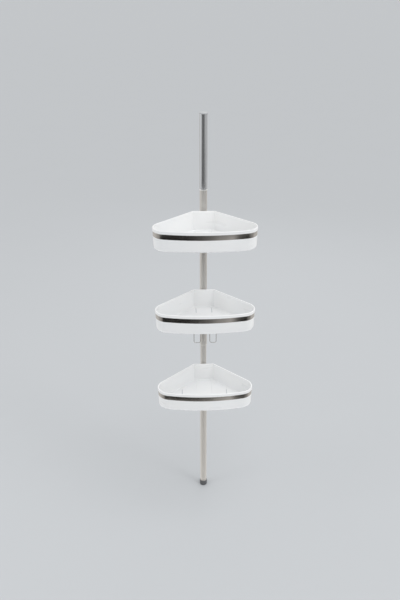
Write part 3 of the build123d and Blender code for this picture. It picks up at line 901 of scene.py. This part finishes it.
class CADDY_OT_spring(Operator):
    """Wind the tension spring inside the main tube"""

    bl_idname = "caddy.spring"
    bl_label = "Tension spring"

    def execute(self, context):
        # Centre line = (R cos a, R sin a, rise a / whole turn), and round it a ring of the wire's
        # radius, spanned by the way out from the axis and the way up across the slope.
        wire, turns = 0.0012, 18
        low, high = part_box("tension_spring")
        coil = high.x - wire
        rise = high.z - low.z - 2 * wire
        steps, around = 24, 10
        angle = np.linspace(0, 2 * math.pi * turns, steps * turns + 1)
        out = np.stack((np.cos(angle), np.sin(angle), 0 * angle), 1)
        slope = rise / (turns * 2 * math.pi * coil)
        along = np.stack((-np.sin(angle), np.cos(angle), slope + 0 * angle), 1)
        along /= math.hypot(1, slope)
        up = np.cross(out, along)
        centre = coil * out
        centre[:, 2] = low.z + wire + rise * angle / angle[-1]
        ring = np.linspace(0, 2 * math.pi, around, endpoint=False)
        points = (
            centre[:, None]
            + wire * np.cos(ring)[None, :, None] * out[:, None]
            + wire * np.sin(ring)[None, :, None] * up[:, None]
        )
        faces = grid_faces(*points.shape[:2], close_columns=True, ends=True)
        node = "tension_spring"
        mesh = solid_mesh(node, points, faces)
        piece = piece_from(mesh, f"{node}_coil", node, finish_for(node), weighted=False)
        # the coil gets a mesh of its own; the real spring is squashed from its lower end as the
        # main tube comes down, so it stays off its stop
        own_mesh(piece)
        return {"FINISHED"}


class CADDY_OT_hooks(Operator):
    """Bend the two wire hooks under the middle basket"""

    bl_idname = "caddy.hooks"
    bl_label = "Wire hooks"

    def execute(self, context):
        radius = context.scene.caddy_pole.wire_radius
        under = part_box("basket_2")[0].z
        for node, side in (("hanger_left", -1), ("hanger_right", 1)):
            low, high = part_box(node)
            y = (low.y + high.y) / 2
            head, bar, loop = high.z - radius, under - 0.005, low.z + radius
            hook, drop, back, tip = 0.028, 0.038, 0.016, 0.0125
            path = (
                (0.019, head), (hook, head), (hook, bar), (drop, bar), (drop, loop), (back, loop),
                (back, loop + 0.040), (tip, loop + 0.049),
            )
            bends = (0, 0.0016, 0.003, 0.004, 0.006, 0.006, 0.010, 0)
            corners = [(side * x, z, r) for (x, z), r in zip(path, bends)]
            line = rounded(corners, steps=10)[10:-10]
            # A ring of the wire's radius at right angles to the line at each of its points, and a
            # half ball at both ends, whose rings shrink as the cosine while they move as the sine.
            along = np.gradient(line, axis=0)
            along /= np.linalg.norm(along, axis=1, keepdims=True)
            cap_rings = 6
            cap = np.linspace(0, math.pi / 2, cap_rings + 1)[1:]
            first = line[0] + along[0] * radius * (1 - np.sin(cap[::-1]))[:, None]
            last = line[-1] - along[-1] * radius * (1 - np.sin(cap))[:, None]
            line[0], line[-1] = line[0] + along[0] * radius, line[-1] - along[-1] * radius
            centre = np.concatenate((first, line, last))
            size = radius * np.concatenate((np.cos(cap[::-1]), np.ones(len(line)), np.cos(cap)))
            ahead = np.pad(along, ((cap_rings, cap_rings), (0, 0)), mode="edge")
            across = np.column_stack((-ahead[:, 1], ahead[:, 0]))
            turn = np.linspace(0, 2 * math.pi, 16, endpoint=False)
            ring = size[:, None] * np.cos(turn)
            points = np.stack(
                (
                    centre[:, :1] + ring * across[:, :1],
                    y + size[:, None] * np.sin(turn),
                    centre[:, 1:] + ring * across[:, 1:],
                ),
                2,
            )
            mesh = solid_mesh(node, points, grid_faces(*points.shape[:2], close_columns=True))
            piece_from(mesh, f"{node}_wire", node, finish_for(node), weighted=False)
        return {"FINISHED"}


class CADDY_OT_fittings(Operator):
    """Give the clamps and the pieces inside the pole their finishes"""

    bl_idname = "caddy.fittings"
    bl_label = "Clamps and inner pieces"

    def execute(self, context):
        for name, node in frame["nodes"].items():
            if not node.hide_render:
                for slot in node.material_slots:
                    slot.material = finish_for(name)
        return {"FINISHED"}


def card_ring(tree, turn, cards):
    """A ring of grey cards round the caddy: brightness by bearing, straight from card to card."""
    ring = add_node(tree, "ShaderNodeValToRGB", {0: turn})
    stops = ring.color_ramp.elements
    while len(stops) < len(cards):
        stops.new(0.5)
    for stop, (degrees, bright) in zip(stops, cards):
        stop.position = (degrees + 180) / 360
        stop.color = (bright, bright * 0.99, bright * 0.975, 1)
    return ring.outputs[0]


class CADDY_OT_studio(Operator):
    """Set the pale floor, the soft lights and the camera"""

    bl_idname = "caddy.studio"
    bl_label = "Studio"

    def execute(self, context):
        scene = context.scene
        # floor: one wide, level sheet, seen by the camera but not in the steel's reflections
        wide = 60.0
        ground = [(-wide, -wide, 0), (wide, -wide, 0), (wide, wide, 0), (-wide, wide, 0)]
        mesh = bpy.data.meshes.new("studio_floor")
        mesh.from_pydata(ground, [], [(0, 1, 2, 3)])
        material, tree, place = new_material("matte_paper_sweep")
        tone = scene.caddy_colours.floor
        fibre = noise(tree, place, 2.5, 3.0)
        tint = blend(tree, fibre, rgba(tone), rgba([part * 0.985 for part in tone]))
        surface(tree, {"Base Color": tint, "Roughness": 0.9, "IOR": 1.3})
        mesh.materials.append(material)
        floor = bpy.data.objects.new("studio_floor", mesh)
        scene.collection.objects.link(floor)
        floor.visible_glossy = False

        # world: an even dome of light, an even backdrop for the camera, and for reflections two
        # rings of grey cards, one over the other, a pale floor under them and a light overhead
        world = bpy.data.worlds.new("studio")
        scene.world = world
        world.use_nodes = True
        tree = world.node_tree
        tree.nodes.clear()
        way = add_node(tree, "ShaderNodeTexCoord").outputs["Generated"]
        right, back, height = add_node(tree, "ShaderNodeSeparateXYZ", {0: way}).outputs
        front = add_node(tree, "ShaderNodeMath", {0: back, 1: -1.0}, operation="MULTIPLY")
        towards = {0: right, 1: front.outputs[0]}
        bearing = add_node(tree, "ShaderNodeMath", towards, operation="ARCTAN2").outputs[0]
        turn = spread(tree, bearing, -math.pi, math.pi)
        low_ring, high_ring = (card_ring(tree, turn, cards) for cards in (LOW_CARDS, HIGH_CARDS))
        cards = blend(tree, spread(tree, height, -0.32, -0.28), low_ring, high_ring)
        pale_floor, overhead = rgba((1.7, 1.68, 1.65)), rgba((0.95, 0.95, 0.95))
        cards = blend(tree, spread(tree, height, -0.63, -0.69), cards, pale_floor)
        cards = blend(tree, spread(tree, height, 0.1, 0.5), cards, overhead)
        backdrop = rgba((0.543, 0.560, 0.577))  # as bright as the floor far away
        dome = add_node(tree, "ShaderNodeBackground", {"Color": rgba((1, 1, 1)), "Strength": 0.8})
        card = add_node(tree, "ShaderNodeBackground", {"Color": cards, "Strength": 1.0})
        seen = add_node(tree, "ShaderNodeBackground", {"Color": backdrop, "Strength": 1.0})
        path = add_node(tree, "ShaderNodeLightPath")
        glossy, direct = path.outputs["Is Glossy Ray"], path.outputs["Is Camera Ray"]
        mirrored = {0: glossy, 1: dome.outputs[0], 2: card.outputs[0]}
        mirrored = add_node(tree, "ShaderNodeMixShader", mirrored)
        final = {0: direct, 1: mirrored.outputs[0], 2: seen.outputs[0]}
        final = add_node(tree, "ShaderNodeMixShader", final)
        add_node(tree, "ShaderNodeOutputWorld", {"Surface": final.outputs[0]})

        # lamps: soft and broad, and kept out of the steel's reflections, which the cards give
        aim = Vector((0, -0.1, 0.85))
        lamps = (
            # name, place, width, height, watts
            ("softbox_right", (2.0, -1.6, 2.2), 0.9, 1.4, 11),
            ("softbox_left", (-2.2, -0.9, 1.9), 0.9, 1.8, 8),
            ("softbox_back", (0.6, 2.6, 2.2), 1.2, 1.6, 6),
        )
        for name, place, width, height, watts in lamps:
            lamp = bpy.data.lights.new(name, "AREA")
            lamp.shape, lamp.size, lamp.size_y, lamp.energy = "RECTANGLE", width, height, watts
            holder = bpy.data.objects.new(name, lamp)
            holder.location = place
            holder.rotation_euler = (aim - Vector(place)).to_track_quat("-Z", "Y").to_euler()
            holder.visible_camera = holder.visible_glossy = False
            scene.collection.objects.link(holder)
        lamp = bpy.data.lights.new("overhead", "SUN")
        lamp.energy, lamp.angle = 0.8, math.radians(50)
        holder = bpy.data.objects.new("overhead", lamp)
        holder.location = (0.9, -1.2, 3.0)
        holder.rotation_euler = (-holder.location).to_track_quat("-Z", "Y").to_euler()
        scene.collection.objects.link(holder)

        heading, pitch = math.radians(1.965), math.radians(26.313)
        camera = bpy.data.cameras.new("camera")
        camera.sensor_width, camera.lens = 36.0, 40.47
        camera.shift_x = -0.00566
        camera.clip_end = 200
        holder = bpy.data.objects.new("camera", camera)
        holder.location = (-0.0752, -2.192, 1.940)
        holder.rotation_euler = (math.pi / 2 - pitch, 0, -heading)
        scene.collection.objects.link(holder)
        scene.camera = holder
        scene.view_settings.view_transform = "Standard"
        return {"FINISHED"}


class CADDY_PT_sidebar(Panel):
    """The caddy's pieces, sizes and colours"""

    bl_idname = "CADDY_PT_sidebar"
    bl_label = "Shower caddy"
    bl_space_type = "VIEW_3D"
    bl_region_type = "UI"
    bl_category = "Caddy"

    def draw(self, context):
        layout = self.layout
        for operator in operators:
            layout.operator(operator.bl_idname)
        scene = context.scene
        for group in (scene.caddy_baskets, scene.caddy_pole, scene.caddy_colours):
            box = layout.box()
            for name in group.__annotations__:
                box.prop(group, name)


groups = (CaddyBasketSizes, CaddyPoleSizes, CaddyColours)
operators = (
    CADDY_OT_baskets,
    CADDY_OT_trim_bands,
    CADDY_OT_tubes,
    CADDY_OT_ends,
    CADDY_OT_bushes,
    CADDY_OT_spring,
    CADDY_OT_hooks,
    CADDY_OT_fittings,
    CADDY_OT_studio,
)


def register():
    """Registers the groups, operators and panel."""
    for made in (*groups, *operators, CADDY_PT_sidebar):
        bpy.utils.register_class(made)
    bpy.types.Scene.caddy_baskets = PointerProperty(type=CaddyBasketSizes)
    bpy.types.Scene.caddy_pole = PointerProperty(type=CaddyPoleSizes)
    bpy.types.Scene.caddy_colours = PointerProperty(type=CaddyColours)


def unregister():
    """Takes everything that register added away again."""
    del bpy.types.Scene.caddy_baskets, bpy.types.Scene.caddy_pole, bpy.types.Scene.caddy_colours
    for made in reversed((*groups, *operators, CADDY_PT_sidebar)):
        bpy.utils.unregister_class(made)


def main():
    register()
    bpy.ops.caddy.baskets()
    bpy.ops.caddy.trim_bands()
    bpy.ops.caddy.tubes()
    bpy.ops.caddy.ends()
    bpy.ops.caddy.bushes()
    bpy.ops.caddy.spring()
    bpy.ops.caddy.hooks()
    bpy.ops.caddy.fittings()
    bpy.ops.caddy.studio()


if __name__ == "__main__":
    main()
